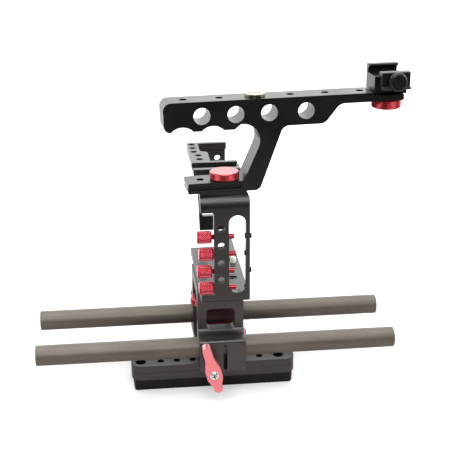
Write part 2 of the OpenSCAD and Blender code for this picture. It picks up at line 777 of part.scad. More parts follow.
module shoe_screws() {
  color("#1d1d1e") for (x = shoe_screw_x) difference() {
    union() {
      rod_v(x, 0, roof_z - cage_wall + 0.6, roof_z + 0.5, shoe_screw_r);
      translate([x, 0, roof_z + 0.1]) cylinder(r1 = shoe_screw_r - 0.05, r2 = 2.6, h = 1);
    }
    translate([x, 0, roof_z + 0.5]) cylinder(r = 1, h = 2, $fn = 6);
  }
}

// --- handle --------------------------------------------------------------
// Drawn in its own frame: X along the bar from the screw, Y across, Z up

module on_handle() {
  translate([handle_pos.x, handle_pos.y, 0]) rotate([0, 0, handle_turn]) children();
}

// Side view of the handle: bar, grip opening, leaning strut, foot and tongue
function handle_outline() =
  rounded([[-bar_front, bar_top, 5.5], [-bar_front + 0.8, bar_z, 4], [5.5, bar_z, 2.5],
    [10, bar_z + 3.5, 2], [29.4, bar_z + 3.5, 12], [11.9, foot_top, 3], [-foot_front, foot_top, 1.2],
    [-foot_front, handle_z, 1.2], [23, handle_z, 5], [39.2, bar_z + 0.7, 6],
    [bar_thin, bar_z + 0.7, 7], [bar_thin + 10.7, tongue_z, 7], [bar_back, tongue_z, 1.2],
    [bar_back, bar_top, 1.2]]);

cross_s = [-16.8, 6.3, 29.4, 55.1];
groove_s = [-30.2, -9.4];
groove_r = 10.4;
bar_hole_s = [-28, -28 + bar_pitch, -28 + 3 * bar_pitch, -28 + 4 * bar_pitch, -28 + 5 * bar_pitch];
plug_s = -28 + 2 * bar_pitch;

// V groove along one side of the foot
module foot_groove() {
  groove_z = handle_z + 3.3;
  along_x(-foot_front - cut, 10,
    [[-handle_y2 - 0.6, groove_z - 1.7], [-handle_y2 + 1.6, groove_z - 0.5],
     [-handle_y2 + 1.6, groove_z + 0.5], [-handle_y2 - 0.6, groove_z + 1.7]]);
}

module top_handle() {
  color("#313134") on_handle() difference() {
    along_y(-handle_y2, handle_y2, handle_outline());
    for (s = groove_s) rod_y(-handle_y2 - cut, handle_y2 + cut, s, bar_z + 3.3 - groove_r, groove_r);
    for (s = cross_s) rod_y(-handle_y2 - cut, handle_y2 + cut, s, hole_z, cross_r);
    for (s = bar_hole_s) rod_v(s, 0, bar_top - (s > 90 ? tongue_h + cut : 12), bar_top + cut, bar_hole_r);
    rod_v(plug_s, 0, bar_top - plug_depth - 0.4, bar_top + cut, plug_r + screw_gap);
    foot_groove();
    mirror_far() foot_groove();
    box([clamp_x0 - 1.4, -handle_y2 - cut, bar_top - seat_depth],
        [bar_back + cut, handle_y2 + cut, bar_top + cut]);
    rod_v(0, 0, handle_z - cut, foot_top + cut, stud_r + run_gap);
    rod_v(-17.1, 0, handle_z - cut, foot_top + cut, bar_hole_r);
    rod_v(clamp_s, 0, tongue_z - cut, bar_top + cut, stud_r + run_gap);
  }
}

module handle_knob() {
  color("#c23a44") on_handle() difference() {
    translate([0, 0, foot_top + 0.1]) knurled(knob_r, knob_h, 48);
    rod_v(0, 0, foot_top - cut, foot_top + knob_h - 1.4, stud_r + screw_gap);
  }
}

module handle_stud() {
  color("#8a8a8c") on_handle()
    rod_v(0, 0, roof_z - cage_wall + 0.5, foot_top + knob_h - 1.5, stud_r);
}

// Nickel-plated flanged plug in the bar's wide thread, with a coin slot
plug_r = 4.6;
plug_flange_r = 7.1;
plug_flange_h = 2.2;
plug_depth = 4;

module handle_plug() {
  color("#cdc4b2") on_handle() difference() {
    union() {
      rod_v(plug_s, 0, bar_top - plug_depth, bar_top + 1, plug_r);
      rod_v(plug_s, 0, bar_top + seat_gap, bar_top + plug_flange_h, plug_flange_r);
    }
    translate([plug_s - 5, -0.6, bar_top + plug_flange_h - 1]) cube([10, 1.2, 2]);
  }
}

// --- accessory clamp at the back of the bar -------------------------------

clamp_x0 = clamp_s - 0.8 - clamp_len / 2;
clamp_x1 = clamp_s - 0.8 + clamp_len / 2;
clamp_x2 = clamp_x1 + 2.4;
seat_z = bar_top - seat_depth + seat_gap;
clamp_foot_y = handle_y2 - 2.7;
clamp_floor = bar_top + 10.7;
clamp_top = bar_top + clamp_h;
jaw_top = clamp_top - 2.5;
lip_y = 5.5;
jaw_y = lip_y - clamp_open;
jaw_back = -7;
jaw_face = -15.3;
jaw_z = bar_top + 2.2;
jaw_knob_s = clamp_s + 1.8;
jaw_knob_z = bar_top + 8.4;
jaw_bolt_r = 2;

module clamp_base() {
  color("#47474a") on_handle() difference() {
    union() {
      along_x(clamp_x0, clamp_x1,
        rounded([[-clamp_foot_y, seat_z, 0.5], [11, seat_z, 0.5], [11, clamp_top, 0.8],
          [lip_y + 0.8, clamp_top, 0.4], [lip_y, clamp_top - 1.2, 0.4],
          [lip_y + 2.8, clamp_top - 3.4, 0.3], [lip_y + 2.8, clamp_floor, 0],
          [jaw_back, clamp_floor, 0.4], [jaw_back, jaw_z, 0], [-clamp_foot_y, jaw_z, 0]]));
      translate([0, 0, seat_z]) linear_extrude(clamp_floor - seat_z)
        polygon(rounded([[clamp_x1 - cut, jaw_back, 0], [clamp_x2, jaw_back, 0.5],
          [clamp_x2, 9.5, 3], [clamp_x1 - cut, 9.5, 0]]));
    }
    rod_v(clamp_s, 0, seat_z - cut, bar_top + 6.5, stud_r + run_gap);
    rod_y(jaw_back - cut, 0.4, jaw_knob_s, jaw_knob_z, jaw_bolt_r + run_gap);
    box([clamp_x0, jaw_back - cut, seat_z - cut], [clamp_x2 + cut, -clamp_foot_y, seat_z + 1.5]);
  }
}

// Sliding jaw: a block with a ledge at its foot and a hooked upper edge
module clamp_jaw() {
  gap = 0.1;
  panel_y = jaw_face + 2.4;
  color("#47474a") on_handle() difference() {
    along_x(clamp_x0 + 3, clamp_x2,
      rounded([[jaw_face + 0.6, jaw_z + gap, 0.6], [jaw_face, jaw_z + 1.6, 0.5],
        [panel_y, jaw_z + 2.3, 0.6], [panel_y, jaw_top, 1], [jaw_y - 0.8, jaw_top, 0.4],
        [jaw_y, jaw_top - 1.2, 0.3], [jaw_back - gap, jaw_top - 2.9, 0],
        [jaw_back - gap, jaw_z + gap, 0.5]]));
    rod_y(jaw_face - cut, jaw_back + cut, jaw_knob_s, jaw_knob_z, jaw_bolt_r + run_gap);
  }
}

// Black jaw knob with its screw
module jaw_knob() {
  color("#2f2f31") on_handle() translate([jaw_knob_s, 0, jaw_knob_z]) {
    translate([0, jaw_face - 0.2, 0]) rotate([90, 0, 0]) knurled(jaw_knob_r, 4, 48, 0.8);
    rod_y(jaw_face - 1, 0, 0, 0, jaw_bolt_r);
  }
}

module clamp_knob() {
  color("#c23a44") on_handle() difference() {
    translate([clamp_s, 0, tongue_z - 0.1 - clamp_knob_h]) knurled(knob_r, clamp_knob_h, 48);
    rod_v(clamp_s, 0, tongue_z - clamp_knob_h + 1.4, tongue_z + cut, stud_r + screw_gap);
  }
}

module clamp_stud() {
  color("#8a8a8c") on_handle() rod_v(clamp_s, 0, tongue_z - clamp_knob_h + 1.5, bar_top + 6, stud_r);
}

quick_plate();
middle_plate();
deck_plate();
plate_screws();
riser_block();
riser_neck();
near_rod();
far_rod();
near_lever();
far_lever();
near_lever_screw();
far_lever_screw();
near_clamp_bolt();
far_clamp_bolt();
riser_wheel();
riser_stud();
camera_knob();
camera_stud();
cage_frame();
cage_screws();
anti_twist_pin();
cable_screw_1();
cable_screw_2();
cable_screw_3();
cable_screw_4();
set_screws();
cold_shoe();
shoe_screws();
top_handle();
handle_knob();
handle_stud();
handle_plug();
clamp_base();
clamp_jaw();
jaw_knob();
clamp_knob();
clamp_stud();
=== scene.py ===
# Camera cage on a rod riser, with cable clamp screws, a cold shoe and a top
# handle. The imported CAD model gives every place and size; this script gives
# the pieces their finish, in metres, and a plain white studio.

import json
import math

import bpy
from mathutils import Matrix, Vector


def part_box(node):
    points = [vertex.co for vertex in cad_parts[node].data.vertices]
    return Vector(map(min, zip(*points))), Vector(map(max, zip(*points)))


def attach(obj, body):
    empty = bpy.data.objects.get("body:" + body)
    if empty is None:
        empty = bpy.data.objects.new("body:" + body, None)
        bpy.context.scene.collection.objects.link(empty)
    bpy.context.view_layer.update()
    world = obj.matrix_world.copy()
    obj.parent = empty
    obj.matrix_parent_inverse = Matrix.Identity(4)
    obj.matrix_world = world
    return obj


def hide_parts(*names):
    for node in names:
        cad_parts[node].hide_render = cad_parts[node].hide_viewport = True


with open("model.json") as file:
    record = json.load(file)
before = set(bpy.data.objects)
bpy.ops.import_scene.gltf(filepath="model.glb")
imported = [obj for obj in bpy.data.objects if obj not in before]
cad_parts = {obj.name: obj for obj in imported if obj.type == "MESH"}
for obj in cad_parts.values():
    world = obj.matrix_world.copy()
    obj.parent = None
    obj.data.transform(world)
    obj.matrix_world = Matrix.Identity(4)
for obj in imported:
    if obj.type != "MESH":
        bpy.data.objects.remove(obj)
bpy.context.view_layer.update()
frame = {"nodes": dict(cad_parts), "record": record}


# --- Camera ---------------------------------------------------------------
# A fixed lens at the photograph's place: 0.8 m from the rig and above it, a
# little left of its middle and turned back towards it.
MM = 0.001
camera_place = Vector((-69.607, -742.816, 402.021)) * MM
camera_turn = math.radians(-6.212)
camera_tilt = math.radians(20.302)
camera_roll = math.radians(-0.315)
camera_data = bpy.data.cameras.new("camera")
camera_data.sensor_width = 36
camera_data.lens = 85.78
camera_data.clip_start = 0.02
camera_data.clip_end = 20
camera = bpy.data.objects.new("camera", camera_data)
bpy.context.scene.collection.objects.link(camera)
camera.matrix_world = (
    Matrix.Translation(camera_place)
    @ Matrix.Rotation(camera_turn, 4, "Z")
    @ Matrix.Rotation(math.pi / 2 - camera_tilt, 4, "X")
    @ Matrix.Rotation(camera_roll, 4, "Z")
)
bpy.context.scene.camera = camera
bpy.context.scene.view_settings.view_transform = "Standard"


# --- Studio ---------------------------------------------------------------
# A white paper sweep under four soft lamps, plain white to the camera. In the
# metal it mirrors dark on the photographer's side and bright behind the rig.
def linear(code):
    values = [int(code[i:i + 2], 16) / 255 for i in (1, 3, 5)]
    return [v / 12.92 if v <= 0.04045 else ((v + 0.055) / 1.055) ** 2.4 for v in values] + [1]


# Fills a node's sockets: another node's socket is linked, a value is set.
def feed(tree, node, inputs):
    for socket, value in inputs.items():
        if isinstance(value, bpy.types.NodeSocket):
            tree.links.new(value, node.inputs[socket])
        else:
            node.inputs[socket].default_value = value
    return node


def add(tree, kind, inputs=None, **settings):
    node = tree.nodes.new(kind)
    for name, value in settings.items():
        setattr(node, name, value)
    return feed(tree, node, inputs or {})


# The sockets of a Mix node that mixes colours. They go by number, because
# they share their names with the sockets of its other kinds.
FACTOR, COLOUR_A, COLOUR_B, MIXED = 0, 6, 7, 2

bpy.ops.object.select_all(action="DESELECT")
bpy.ops.mesh.primitive_plane_add(size=6, location=(0, 0, -0.1 * MM))
table = bpy.context.object
table.name = "table"
bpy.ops.object.mode_set(mode="EDIT")
bpy.ops.mesh.subdivide(number_cuts=5)
bpy.ops.object.mode_set(mode="OBJECT")
bpy.ops.object.transform_apply(location=True)

paper = bpy.data.materials.new("white_paper_sweep")
paper.use_nodes = True
tree = paper.node_tree
tree.nodes.clear()
path = add(tree, "ShaderNodeLightPath")
place = add(tree, "ShaderNodeTexCoord")
along = add(tree, "ShaderNodeSeparateXYZ", {"Vector": place.outputs["Object"]})
white_light = linear("#ffffff")

# What the metal mirrors: paper that darkens towards the photographer, and
# behind the rig a glow that is weaker where the rig stands in its way.
near_side = add(tree, "ShaderNodeMapRange", {
    "Value": along.outputs["Y"],
    "From Min": -0.6, "From Max": -0.36, "To Min": 0.03, "To Max": 0.62,
}, interpolation_type="SMOOTHSTEP")
warm = add(tree, "ShaderNodeMix", {
    FACTOR: near_side.outputs["Result"], COLOUR_A: linear("#000000"), COLOUR_B: linear("#fff1ef"),
}, data_type="RGBA")
mirrored_paper = add(tree, "ShaderNodeBsdfDiffuse", {"Color": warm.outputs[MIXED]})
far_side = add(tree, "ShaderNodeMapRange", {
    "Value": along.outputs["Y"],
    "From Min": 0.1, "From Max": 0.4, "To Min": 0.0, "To Max": 1.9,
})
open_sky = add(tree, "ShaderNodeAmbientOcclusion", {"Distance": 0.12})
unshaded = add(tree, "ShaderNodeMapRange", {
    "Value": open_sky.outputs["AO"],
    "From Min": 0.35, "From Max": 0.95, "To Min": 0.0, "To Max": 0.6,
})
glow_level = add(tree, "ShaderNodeMath", {
    0: far_side.outputs["Result"], 1: unshaded.outputs["Result"],
}, operation="MULTIPLY")
glow = add(tree, "ShaderNodeEmission", {"Color": white_light, "Strength": glow_level.outputs["Value"]})
mirrored = add(tree, "ShaderNodeAddShader", {
    0: mirrored_paper.outputs["BSDF"], 1: glow.outputs["Emission"],
})

# What the camera sees: lit paper with the rig's shadow, which fades to plain
# white away from the rig.
lit_paper = add(tree, "ShaderNodeBsdfDiffuse", {"Color": linear("#efefef")})
reach = add(tree, "ShaderNodeVectorMath", {0: place.outputs["Object"]}, operation="LENGTH")
fade = add(tree, "ShaderNodeMapRange", {
    "Value": reach.outputs["Value"],
    "From Min": 0.14, "From Max": 0.36, "To Min": 0.0, "To Max": 1.0,
}, interpolation_type="SMOOTHSTEP")
level = add(tree, "ShaderNodeMapRange", {"Value": fade.outputs["Result"], "To Min": 0.3, "To Max": 1.0})
shine = add(tree, "ShaderNodeEmission", {"Color": white_light, "Strength": level.outputs["Result"]})
seen = add(tree, "ShaderNodeAddShader", {0: lit_paper.outputs["BSDF"], 1: shine.outputs["Emission"]})
direct = add(tree, "ShaderNodeMixShader", {
    0: path.outputs["Is Camera Ray"], 1: lit_paper.outputs["BSDF"], 2: seen.outputs["Shader"],
})
surface = add(tree, "ShaderNodeMixShader", {
    0: path.outputs["Is Glossy Ray"], 1: direct.outputs["Shader"], 2: mirrored.outputs["Shader"],
})
add(tree, "ShaderNodeOutputMaterial", {"Surface": surface.outputs["Shader"]})
table.data.materials.append(paper)

# The room round the sweep: a soft light for dull faces, a backdrop that the
# metal mirrors, and plain white for the camera.
studio = bpy.context.scene.world or bpy.data.worlds.new("studio")
bpy.context.scene.world = studio
studio.use_nodes = True
tree = studio.node_tree
tree.nodes.clear()
path = add(tree, "ShaderNodeLightPath")
direction = add(tree, "ShaderNodeTexCoord")
along = add(tree, "ShaderNodeSeparateXYZ", {"Vector": direction.outputs["Generated"]})
behind = add(tree, "ShaderNodeMapRange", {
    "Value": along.outputs["Y"],
    "From Min": -0.7, "From Max": 0.7, "To Min": 0.03, "To Max": 2.2,
}, interpolation_type="SMOOTHSTEP")
room = add(tree, "ShaderNodeBackground", {"Color": white_light, "Strength": 0.5})
backdrop = add(tree, "ShaderNodeBackground", {"Color": white_light, "Strength": behind.outputs["Result"]})
clear = add(tree, "ShaderNodeBackground", {"Color": white_light, "Strength": 1.0})
around = add(tree, "ShaderNodeMixShader", {
    0: path.outputs["Is Glossy Ray"], 1: room.outputs["Background"], 2: backdrop.outputs["Background"],
})
straight = add(tree, "ShaderNodeMath", {
    0: path.outputs["Is Camera Ray"], 1: path.outputs["Is Transmission Ray"],
}, operation="MAXIMUM")
surface = add(tree, "ShaderNodeMixShader", {
    0: straight.outputs["Value"], 1: around.outputs["Shader"], 2: clear.outputs["Background"],
})
add(tree, "ShaderNodeOutputWorld", {"Surface": surface.outputs["Shader"]})


def softbox(name, place, aim, width, height, watts):
    data = bpy.data.lights.new(name, "AREA")
    data.shape = "RECTANGLE"
    data.size = width
    data.size_y = height
    data.energy = watts
    lamp = bpy.data.objects.new(name, data)
    bpy.context.scene.collection.objects.link(lamp)
    toward = Vector(aim) - Vector(place)
    turn = toward.to_track_quat("-Z", "Y").to_matrix().to_4x4()
    lamp.matrix_world = Matrix.Translation(place) @ turn
    lamp.visible_camera = False


softbox("softbox_over", place=(0.0, -0.1, 1.5), aim=(0, 0, 0.1), width=1.6, height=0.8, watts=12)
softbox("softbox_left", place=(-1.4, 0.1, 0.7), aim=(0, 0, 0.12), width=1.2, height=1.0, watts=4)
softbox("softbox_right", place=(1.4, -0.3, 0.8), aim=(0, 0, 0.12), width=1.0, height=0.8, watts=8)
softbox("softbox_front", place=(-0.15, -1.25, 1.2), aim=(0, 0, 0.15), width=1.0, height=0.9, watts=15)


# --- Base plates ----------------------------------------------------------
# Three stacked aluminium plates, milled, bead blasted and anodised black. The
# finish is matt, nearly black, and mirrors the white room at a shallow angle.
body_of = {node: body for body, nodes in frame["record"]["behaviour"]["bodies"].items() for node in nodes}


# A new material with its tree and shader, and the place on the piece that a
# pattern is laid out by.
def fresh(name):
    material = bpy.data.materials.new(name)
    material.use_nodes = True
    tree = material.node_tree
    place = add(tree, "ShaderNodeTexCoord").outputs["Object"]
    return material, tree, tree.nodes["Principled BSDF"], place


# A tone made darker or lighter by a factor.
def shade(tone, factor):
    return [c * factor for c in linear(tone)[:3]] + [1]


# Real blasted grain is a tenth of a millimetre wide. It is drawn coarser, so
# that it shows, over clouds as wide as a thumb. The sum of the two patterns
# lies mostly between 0.7 and 1.3.
def black_anodised(name, tone, ior, grain=1.4 * MM):
    material, tree, shader, place = fresh(name)
    cloud_width = 22.2 * MM
    blast = add(tree, "ShaderNodeTexNoise", {
        "Vector": place, "Scale": 1 / grain, "Detail": 3, "Roughness": 0.6,
    })
    cloud = add(tree, "ShaderNodeTexNoise", {"Vector": place, "Scale": 1 / cloud_width, "Detail": 2})
    both = add(tree, "ShaderNodeMath", {0: blast.outputs["Fac"], 1: cloud.outputs["Fac"]}, operation="ADD")
    fleck = add(tree, "ShaderNodeMapRange", {
        "Value": both.outputs["Value"], "From Min": 0.7, "From Max": 1.3,
    })
    colour = add(tree, "ShaderNodeMix", {
        FACTOR: fleck.outputs["Result"], COLOUR_A: shade(tone, 0.72), COLOUR_B: shade(tone, 1.3),
    }, data_type="RGBA")
    rough = add(tree, "ShaderNodeMapRange", {
        "Value": fleck.outputs["Result"], "To Min": 0.27, "To Max": 0.37,
    })
    bump = add(tree, "ShaderNodeBump", {
        "Height": blast.outputs["Fac"], "Strength": 0.12, "Distance": 0.06 * MM,
    })
    feed(tree, shader, {
        "Base Color": colour.outputs[MIXED], "Roughness": rough.outputs["Result"],
        "Normal": bump.outputs["Normal"], "IOR": ior,
    })
    return material


# Selects, in edit mode, the points, edges or faces of a mesh that pass a test.
def choose(mesh, kind, test):
    bpy.ops.object.mode_set(mode="OBJECT")
    for parts in (mesh.vertices, mesh.edges, mesh.polygons):
        parts.foreach_set("select", [False] * len(parts))
    for part in getattr(mesh, kind):
        part.select = test(part)
    bpy.ops.object.mode_set(mode="EDIT")


# Two heights that differ by less than this are the same height.
SAME = 0.001 * MM


# A copy of one CAD piece, or of two that the real thing has in one, with its
# triangles joined, its edges broken by a small chamfer and its walls smooth.
# Where two become one, the faces in which they met are taken out.
def softened(node, edge_mm, steps=2, upper=None):
    stack = [upper, node] if upper else [node]
    bpy.ops.object.select_all(action="DESELECT")
    for name in stack:
        piece = bpy.data.objects.new(node + "_finish", frame["nodes"][name].data.copy())
        bpy.context.scene.collection.objects.link(piece)
        piece.select_set(True)
        bpy.context.view_layer.objects.active = piece
    if upper:
        bpy.ops.object.join()
    bpy.ops.object.mode_set(mode="EDIT")
    bpy.ops.mesh.select_mode(type="FACE")
    bpy.ops.mesh.select_all(action="SELECT")
    bpy.ops.mesh.remove_doubles(threshold=0.002 * MM)
    if upper:
        mesh = piece.data
        joint_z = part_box(upper)[0].z
        choose(mesh, "polygons", lambda face: all(
            abs(mesh.vertices[corner].co.z - joint_z) < SAME for corner in face.vertices))
        bpy.ops.mesh.delete(type="FACE")
        bpy.ops.mesh.select_all(action="SELECT")
    bpy.ops.mesh.dissolve_limited(angle_limit=math.radians(1.0))
    bpy.ops.object.mode_set(mode="OBJECT")
    bevel = piece.modifiers.new("edge", "BEVEL")
    bevel.width = edge_mm * MM
    bevel.segments = steps
    bevel.limit_method = "ANGLE"
    bevel.angle_limit = math.radians(38)
    bevel.use_clamp_overlap = True
    bevel.loop_slide = False
    bpy.ops.object.modifier_apply(modifier=bevel.name)
    bpy.ops.object.shade_smooth_by_angle(angle=math.radians(32))
    flat = piece.modifiers.new("flat", "WEIGHTED_NORMAL")
    flat.keep_sharp = True
    bpy.ops.object.modifier_apply(modifier=flat.name)
    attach(piece, body_of[node])
    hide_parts(*reversed(stack))
    return piece


def dress(piece, material):
    piece.data.materials.clear()
    piece.data.materials.append(material)
    return piece


plate_black = black_anodised("anodised_plate_black", "#201d1e", ior=1.7)
# The foot's blacker tone is partly its own darker anodise and partly painted shade, for the shadowed paper
# that its sides mirror.
foot_black = black_anodised("anodised_foot_black", "#0f0c0c", ior=1.34)
dress(softened("quick_plate", 0.5), foot_black)

# The chamfers are painted in the foot's blacker tone, a painted dark reflection
# along the plates' edges.
for node, chamfer_mm in (("deck_plate", 0.7), ("middle_plate", 0.5)):
    piece = dress(softened(node, chamfer_mm, steps=1), plate_black)
    piece.data.materials.append(foot_black)
    for face in piece.data.polygons:
        painted_dark_chamfer = 0.3 < abs(face.normal.z) < 0.9
        if painted_dark_chamfer:
            face.material_index = 1


# --- Black steel screws ---------------------------------------------------
# Socket and grub screws and the stud of the camera knob, of black oxide steel,
# oily and nearly black. Their shapes are the CAD model's.

# A material whose tone and gloss drift a little over the piece, as an oxide, a
# plating or a dye does. The drift is drawn wide enough to show.
def filmed(name, dark, light, rough, drift, metallic=0.0, detail=3):
    material, tree, shader, place = fresh(name)
    film = add(tree, "ShaderNodeTexNoise", {"Vector": place, "Scale": 1 / drift, "Detail": detail})
    tone = add(tree, "ShaderNodeMix", {
        FACTOR: film.outputs["Fac"], COLOUR_A: dark, COLOUR_B: light,
    }, data_type="RGBA")
    gloss = add(tree, "ShaderNodeMapRange", {
        "Value": film.outputs["Fac"], "To Min": rough[0], "To Max": rough[1],
    })
    feed(tree, shader, {
        "Base Color": tone.outputs[MIXED], "Roughness": gloss.outputs["Result"], "Metallic": metallic,
    })
    return material


screw_black = filmed("black_oxide_steel", linear("#191818"), linear("#2c2a29"), rough=(0.28, 0.45),
                     drift=1.11 * MM, metallic=0.6, detail=2)
for node in ("plate_screws", "cage_screws", "shoe_screws", "set_screws", "camera_stud"):
    dress(frame["nodes"][node], screw_black)


# --- Riser and cage -------------------------------------------------------
# The milled riser block, the bent cage above it and the cold shoe on the roof,
# all blasted and anodised black. The riser came out greyer than the cage.
cage_black = black_anodised("anodised_cage_black", "#151213", ior=1.62)
riser_black = black_anodised("anodised_riser_black", "#282424", ior=1.66)
dress(softened("riser_block", 0.5, upper="riser_neck"), riser_black)
cage = dress(softened("cage_frame", 0.5), cage_black)
dress(softened("cold_shoe", 0.25), plate_black)


# The tapped holes of the cage: their walls are painted nearly black, as painted
# shade for the light that the thread's flanks trap, and banded in painted shade
# along the ridges. The ridges have the real pitch.
def tapped(name, along):
    material, tree, shader, place = fresh(name)
    pitch = 1.27 * MM
    wave_length = math.pi / 10  # that of Blender's wave texture at scale 1
    ridge = add(tree, "ShaderNodeTexWave", {
        "Vector": place, "Scale": wave_length / pitch,
    }, bands_direction=along)
    colour = add(tree, "ShaderNodeMix", {
        FACTOR: ridge.outputs["Fac"], COLOUR_A: linear("#050505"), COLOUR_B: linear("#191718"),
    }, data_type="RGBA")
    bump = add(tree, "ShaderNodeBump", {
        "Height": ridge.outputs["Fac"], "Strength": 0.8, "Distance": 0.6 * MM,
    })
    feed(tree, shader, {
        "Base Color": colour.outputs[MIXED], "Normal": bump.outputs["Normal"], "Roughness": 0.6,
    })
    return material


# A hole's walls, which get the painted shade, are the faces near its axis that
# look square to the axis.
wall_reach = 2.7 * MM
for along in ("Y", "Z"):
    cage.data.materials.append(tapped("tapped_hole_black_" + along.lower(), along))
for mount in frame["record"]["mounts"]:
    if mount["name"].startswith(("post_hole", "roof_hole", "far_wall_hole")):
        axis = Vector(mount["axis"])
        for face in cage.data.polygons:
            away = face.center - Vector(mount["pos_m"])
            beside = (away - axis * away.dot(axis)).length
            if beside < wall_reach and abs(face.normal.dot(axis)) < 0.3:
                face.material_index = 1 if abs(axis.y) > 0.5 else 2


# --- Rods -----------------------------------------------------------------
# Two 15 mm aluminium tubes, extruded and anodised in a dull, warm grey. The
# skin is finely speckled, with blotches that run along the tube.
rod_grey, tree, shader, place = fresh("anodised_rod_grey")
blotch_width = 7.7 * MM
speck_width = 0.91 * MM
stretch = add(tree, "ShaderNodeMapping", {"Vector": place, "Scale": (0.25, 1, 1)})
blotch = add(tree, "ShaderNodeTexNoise", {
    "Vector": stretch.outputs["Vector"], "Scale": 1 / blotch_width, "Detail": 5, "Roughness": 0.65,
})
speck = add(tree, "ShaderNodeTexNoise", {"Vector": place, "Scale": 1 / speck_width, "Detail": 2})
depth = add(tree, "ShaderNodeMapRange", {
    "Value": blotch.outputs["Fac"], "From Min": 0.32, "From Max": 0.68,
})
tone = add(tree, "ShaderNodeMix", {
    FACTOR: depth.outputs["Result"], COLOUR_A: linear("#645f58"), COLOUR_B: linear("#716b63"),
}, data_type="RGBA")
skin = add(tree, "ShaderNodeMix", {
    FACTOR: 0.2, COLOUR_A: tone.outputs[MIXED], COLOUR_B: speck.outputs["Color"],
}, data_type="RGBA", blend_type="OVERLAY")
rough = add(tree, "ShaderNodeMapRange", {"Value": blotch.outputs["Fac"], "To Min": 0.46, "To Max": 0.54})
feed(tree, shader, {
    "Base Color": skin.outputs[MIXED], "Roughness": rough.outputs["Result"], "Metallic": 0.75,
})
for node in ("near_rod", "far_rod"):
    dress(softened(node, 0.6), rod_grey)


# --- Zinc steel studs and screws ------------------------------------------
# Bright zinc plated steel: the clamp bolts and the knobs' other studs, in the
# CAD model's shapes, and the cross-head screws in the levers.
zinc = filmed("zinc_plated_steel", linear("#e4e2dc"), linear("#faf9f6"), rough=(0.2, 0.34),
              drift=1.43 * MM, metallic=0.85)
for node in ("near_clamp_bolt", "far_clamp_bolt", "riser_stud", "handle_stud", "clamp_stud"):
    dress(frame["nodes"][node], zinc)


def middle_of(node):
    low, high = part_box(node)
    return (low + high) / 2


# The cross of a lever's screw is painted nearly black, as painted shade in its
# recess. Its faces are near the screw's axis and lie below the top of the head.
cross_reach = 2.2 * MM
cross_depth = 0.55 * MM
for node in ("near_lever_screw", "far_lever_screw"):
    piece = dress(softened(node, 0.12), zinc)
    piece.data.materials.append(screw_black)
    low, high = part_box(node)
    middle = middle_of(node)
    head_y = low.y if middle.y < 0 else high.y
    for face in piece.data.polygons:
        away = face.center - middle
        sunk = abs(face.center.y - head_y) > cross_depth
        if sunk and math.hypot(away.x, away.z) < cross_reach:
            face.material_index = 1


# --- Levers ---------------------------------------------------------------
# Red anodised clamp levers, milled and tumbled, so that the edges are round. The
# flat face is a pale satin red under the lamps, and the red is painted pale all
# over, a painted sheen of that reflection.
def red_anodised(name, tone, rough, metallic):
    material = filmed(name, shade(tone, 0.85), linear(tone), rough=(rough - 0.02, rough + 0.03),
                      drift=1.67 * MM, metallic=metallic)
    tree = material.node_tree
    feed(tree, tree.nodes["Principled BSDF"], {"Coat Weight": 0.8, "Coat Roughness": 0.25})
    return material


# A pale red: the lamps' reflection painted into the colour as a painted sheen.
lever_red = red_anodised("anodised_lever_red", "#f2848a", rough=0.35, metallic=0.5)
for node in ("near_lever", "far_lever"):
    dress(softened(node, 1.1, steps=3), lever_red)


# --- Knurled knobs --------------------------------------------------------
# Turned aluminium knobs with a rolled diamond knurl and chamfered rims, red
# anodised. The knurl is cut in the mesh, coarser than the real one, to show.
knurl_depth = 0.45 * MM


def size_of(node):
    low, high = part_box(node)
    return high - low


# Selects the edges of a cylinder that run from end to end.
def choose_upright(mesh):
    choose(mesh, "edges", lambda edge: (
        mesh.vertices[edge.vertices[0]].co.z * mesh.vertices[edge.vertices[1]].co.z < 0))


# The side is cut into squares and each square into four by its diagonals. The
# squares' own edges are then taken out, which leaves diamonds, and each one is
# raised to a pyramid. The ends get a chamfered rim. The crest attribute is 1
# on the tips, 0 in the valleys and in between on the rims and ends.
def knurled_disc(name, radius, height, around, rows, rim):
    rim_crest = 0.68
    half = height / 2 - rim
    bpy.ops.object.select_all(action="DESELECT")
    bpy.ops.mesh.primitive_cylinder_add(vertices=around, radius=radius - knurl_depth, depth=2 * half)
    knob = bpy.context.object
    knob.name = name
    mesh = knob.data
    bpy.ops.object.mode_set(mode="EDIT")
    bpy.ops.mesh.select_mode(type="EDGE")
    choose_upright(mesh)
    bpy.ops.mesh.subdivide(number_cuts=rows - 1)
    bpy.ops.mesh.select_mode(type="FACE")
    choose(mesh, "polygons", lambda face: abs(face.normal.z) < 0.5)
    bpy.ops.object.mode_set(mode="OBJECT")
    corners = len(mesh.vertices)
    bpy.ops.object.mode_set(mode="EDIT")
    bpy.ops.mesh.poke(offset=0)
    bpy.ops.mesh.select_mode(type="EDGE")
    choose(mesh, "edges", lambda edge: max(edge.vertices) < corners and not all(
        abs(abs(mesh.vertices[corner].co.z) - half) < SAME for corner in edge.vertices))
    bpy.ops.mesh.dissolve_edges(use_verts=False)
    bpy.ops.mesh.select_mode(type="FACE")
    choose(mesh, "polygons", lambda face: abs(face.normal.z) < 0.5)
    bpy.ops.object.mode_set(mode="OBJECT")
    tips_from = len(mesh.vertices)
    bpy.ops.object.mode_set(mode="EDIT")
    bpy.ops.mesh.poke(offset=knurl_depth)
    bpy.ops.object.mode_set(mode="OBJECT")
    crest = mesh.attributes.new("crest", "FLOAT", "POINT")
    for point, corner in enumerate(mesh.vertices):
        if point >= tips_from:
            crest.data[point].value = 1.0
        elif abs(corner.co.z) > half - SAME:
            crest.data[point].value = rim_crest
    choose(mesh, "polygons", lambda face: abs(face.normal.z) > 0.9 and len(face.vertices) == around)
    bpy.ops.mesh.inset(thickness=rim, depth=rim, use_even_offset=False)
    bpy.ops.mesh.inset(thickness=rim, depth=0)
    bpy.ops.object.mode_set(mode="OBJECT")
    return knob


def twin(piece, name):
    copy = bpy.data.objects.new(name, piece.data.copy())
    bpy.context.scene.collection.objects.link(copy)
    return copy


